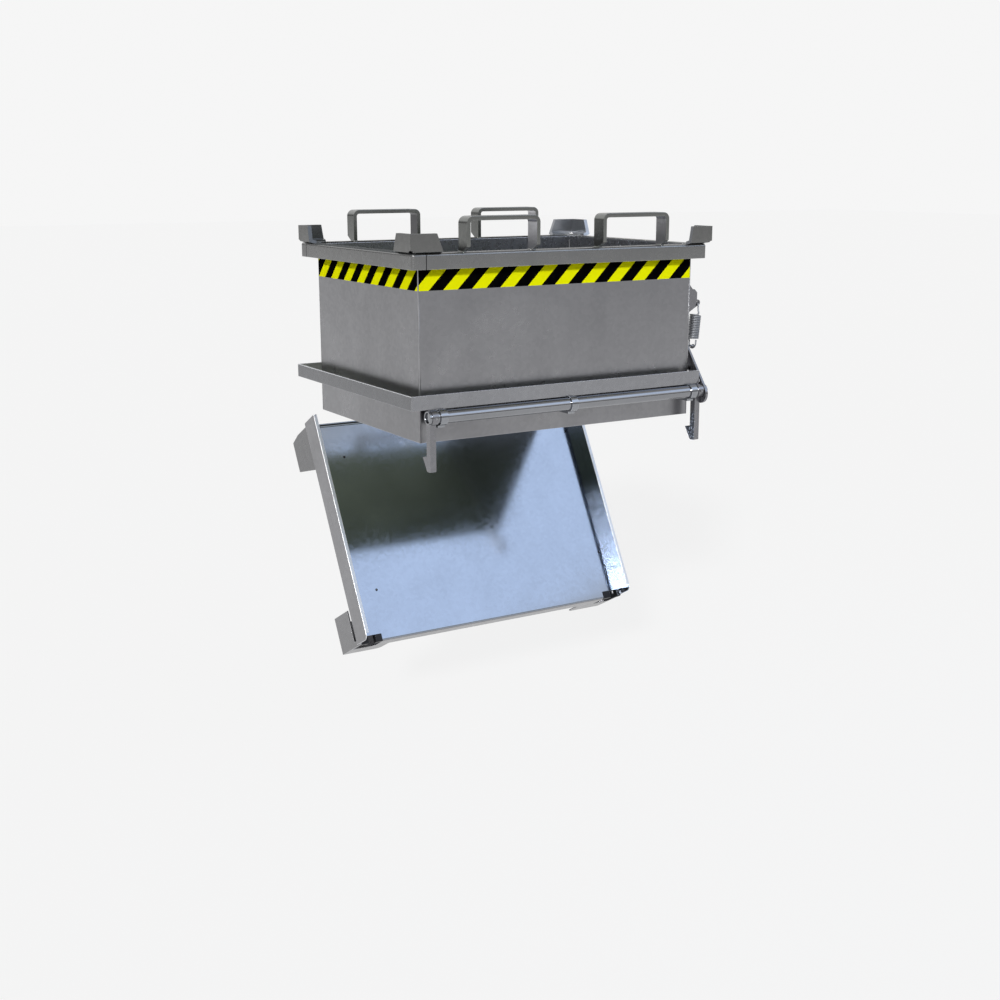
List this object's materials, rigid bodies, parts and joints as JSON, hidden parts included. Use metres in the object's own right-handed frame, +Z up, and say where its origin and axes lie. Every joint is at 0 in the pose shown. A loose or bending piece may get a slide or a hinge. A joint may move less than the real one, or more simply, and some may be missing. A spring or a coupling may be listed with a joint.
{
  "type": "bottom-opening container",
  "caption": "Galvanised open-top site container with fork loops on its rim, stacking corners and a hinged floor tray that hooks on a sprung shaft release to drop the load.",
  "frame": {"origin": "middle of the lift plane, the underside of the four fork loop bars, at the plan centre of the walls", "axes": "+X to the right along the front with the release shaft, +Y to the rear hinge side, +Z up"},
  "size_m": [1.348, 1.1941, 1.7773],
  "materials": {
    "galvanised_steel": "hot-dip galvanised, matt grey with faint smudges",
    "bright_zinc_sheet": "bright galvanised sheet, semi-gloss",
    "bright_steel": "bright zinc-plated",
    "spring_steel": "zinc-plated spring wire",
    "dark_steel": "dark, unpainted and worn",
    "hazard_tape": "yellow tape with black slanted stripes"
  },
  "bodies": {
    "container": {"band_front": "galvanised_steel", "band_left": "galvanised_steel", "band_rear": "galvanised_steel", "band_right": "galvanised_steel", "bearing_bolts": "bright_steel", "bearing_left": "bright_steel", "bearing_middle": "bright_steel", "bearing_right": "bright_steel", "corner_front_left": "galvanised_steel", "corner_front_right": "galvanised_steel", "corner_rear_left": "galvanised_steel", "corner_rear_right": "galvanised_steel", "hinge_bracket_left": "galvanised_steel", "hinge_bracket_right": "galvanised_steel", "hinge_pin_left": "bright_steel", "hinge_pin_right": "bright_steel", "lever_stop": "galvanised_steel", "loop_front_left": "galvanised_steel", "loop_front_right": "galvanised_steel", "loop_rear_left": "galvanised_steel", "loop_rear_right": "galvanised_steel", "return_spring": "spring_steel", "rim_front": "galvanised_steel", "rim_left": "galvanised_steel", "rim_rear": "galvanised_steel", "rim_right": "galvanised_steel", "spring_bracket": "galvanised_steel", "tape_front": "hazard_tape", "tape_left": "hazard_tape", "tape_rear": "hazard_tape", "tape_right": "hazard_tape", "wall_front": "galvanised_steel", "wall_left": "galvanised_steel", "wall_rear": "galvanised_steel", "wall_right": "galvanised_steel"},
    "latch_shaft": {"release_shaft": "bright_steel", "hook_left": "galvanised_steel", "hook_right": "galvanised_steel", "hook_pins": "bright_steel", "release_lever": "galvanised_steel", "spring_pin": "bright_steel"},
    "floor_flap": {"catch_left": "dark_steel", "catch_right": "dark_steel", "channel_left": "galvanised_steel", "channel_middle": "galvanised_steel", "channel_right": "galvanised_steel", "floor_pan": "bright_zinc_sheet", "foot_front_left": "galvanised_steel", "foot_front_right": "galvanised_steel", "foot_rear_left": "galvanised_steel", "foot_rear_right": "galvanised_steel", "hinge_ear_left": "galvanised_steel", "hinge_ear_right": "galvanised_steel", "side_left": "bright_zinc_sheet", "side_right": "bright_zinc_sheet"}
  },
  "joints": [
    {"name": "flap_hinge", "type": "hinge", "parent": "container", "child": "floor_flap", "pos_m": [0, 0.536, -0.7985], "axis": [1, 0, 0], "range_deg": [-61, 0]},
    {"name": "shaft_turn", "type": "hinge", "parent": "container", "child": "latch_shaft", "pos_m": [0, -0.493, -0.675], "axis": [1, 0, 0], "range_deg": [0, 13], "deforming": ["return_spring"]}
  ]
}
